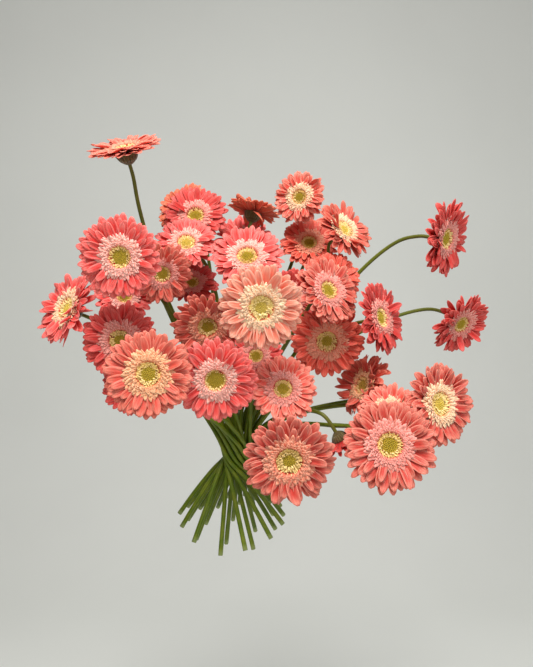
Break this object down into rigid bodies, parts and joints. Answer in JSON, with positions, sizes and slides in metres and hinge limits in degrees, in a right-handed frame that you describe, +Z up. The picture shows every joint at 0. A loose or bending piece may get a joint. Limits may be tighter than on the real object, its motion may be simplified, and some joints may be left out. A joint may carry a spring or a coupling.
{
  "type": "cut flower bunch",
  "caption": "Loose bunch of small coral and apricot gerberas on long bare stems that cross at a narrow waist, where a hand holds them.",
  "frame": {"origin": "middle of the waist, where the stems cross and a hand closes round them", "axes": "+Z up through the bunch towards the blooms, -Y towards the side most blooms face, +X to the right seen from that side"},
  "size_m": [0.4671, 0.247, 0.4502],
  "materials": {
    "petal": "soft matt petals, coral to apricot with pale tips",
    "stem": "green, waxy, finely ribbed",
    "calyx": "dark green, finely hairy",
    "eye": "tight florets, olive in the middle and cream at the rim"
  },
  "bodies": {
    "root": {"bloom_01": "petal", "bloom_02": "petal", "bloom_03": "petal", "bloom_04": "petal", "bloom_05": "petal", "bloom_06": "petal", "bloom_07": "petal", "bloom_08": "petal", "bloom_09": "petal", "bloom_10": "petal", "bloom_11": "petal", "bloom_12": "petal", "bloom_13": "petal", "bloom_14": "petal", "bloom_15": "petal", "bloom_16": "petal", "bloom_17": "petal", "bloom_18": "petal", "bloom_19": "petal", "bloom_20": "petal", "bloom_21": "petal", "bloom_22": "petal", "bloom_23": "petal", "bloom_24": "petal", "stem_01": "stem", "stem_02": "stem", "stem_03": "stem", "stem_04": "stem", "stem_05": "stem", "stem_06": "stem", "stem_07": "stem", "stem_08": "stem", "stem_09": "stem", "stem_10": "stem", "stem_11": "stem", "stem_12": "stem", "stem_13": "stem", "stem_14": "stem", "stem_15": "stem", "stem_16": "stem", "stem_17": "stem", "stem_18": "stem", "stem_19": "stem", "stem_20": "stem", "stem_21": "stem", "stem_22": "stem", "stem_23": "stem", "stem_24": "stem", "tucked_gerbera_01": "petal", "tucked_gerbera_02": "petal", "tucked_gerbera_03": "petal", "tucked_gerbera_04": "petal", "tucked_gerbera_05": "petal", "tucked_gerbera_06": "petal", "tucked_gerbera_07": "petal", "tucked_gerbera_08": "petal", "tucked_gerbera_09": "petal", "tucked_gerbera_10": "petal", "tucked_gerbera_11": "petal", "tucked_gerbera_12": "petal"}
  },
  "joints": []
}
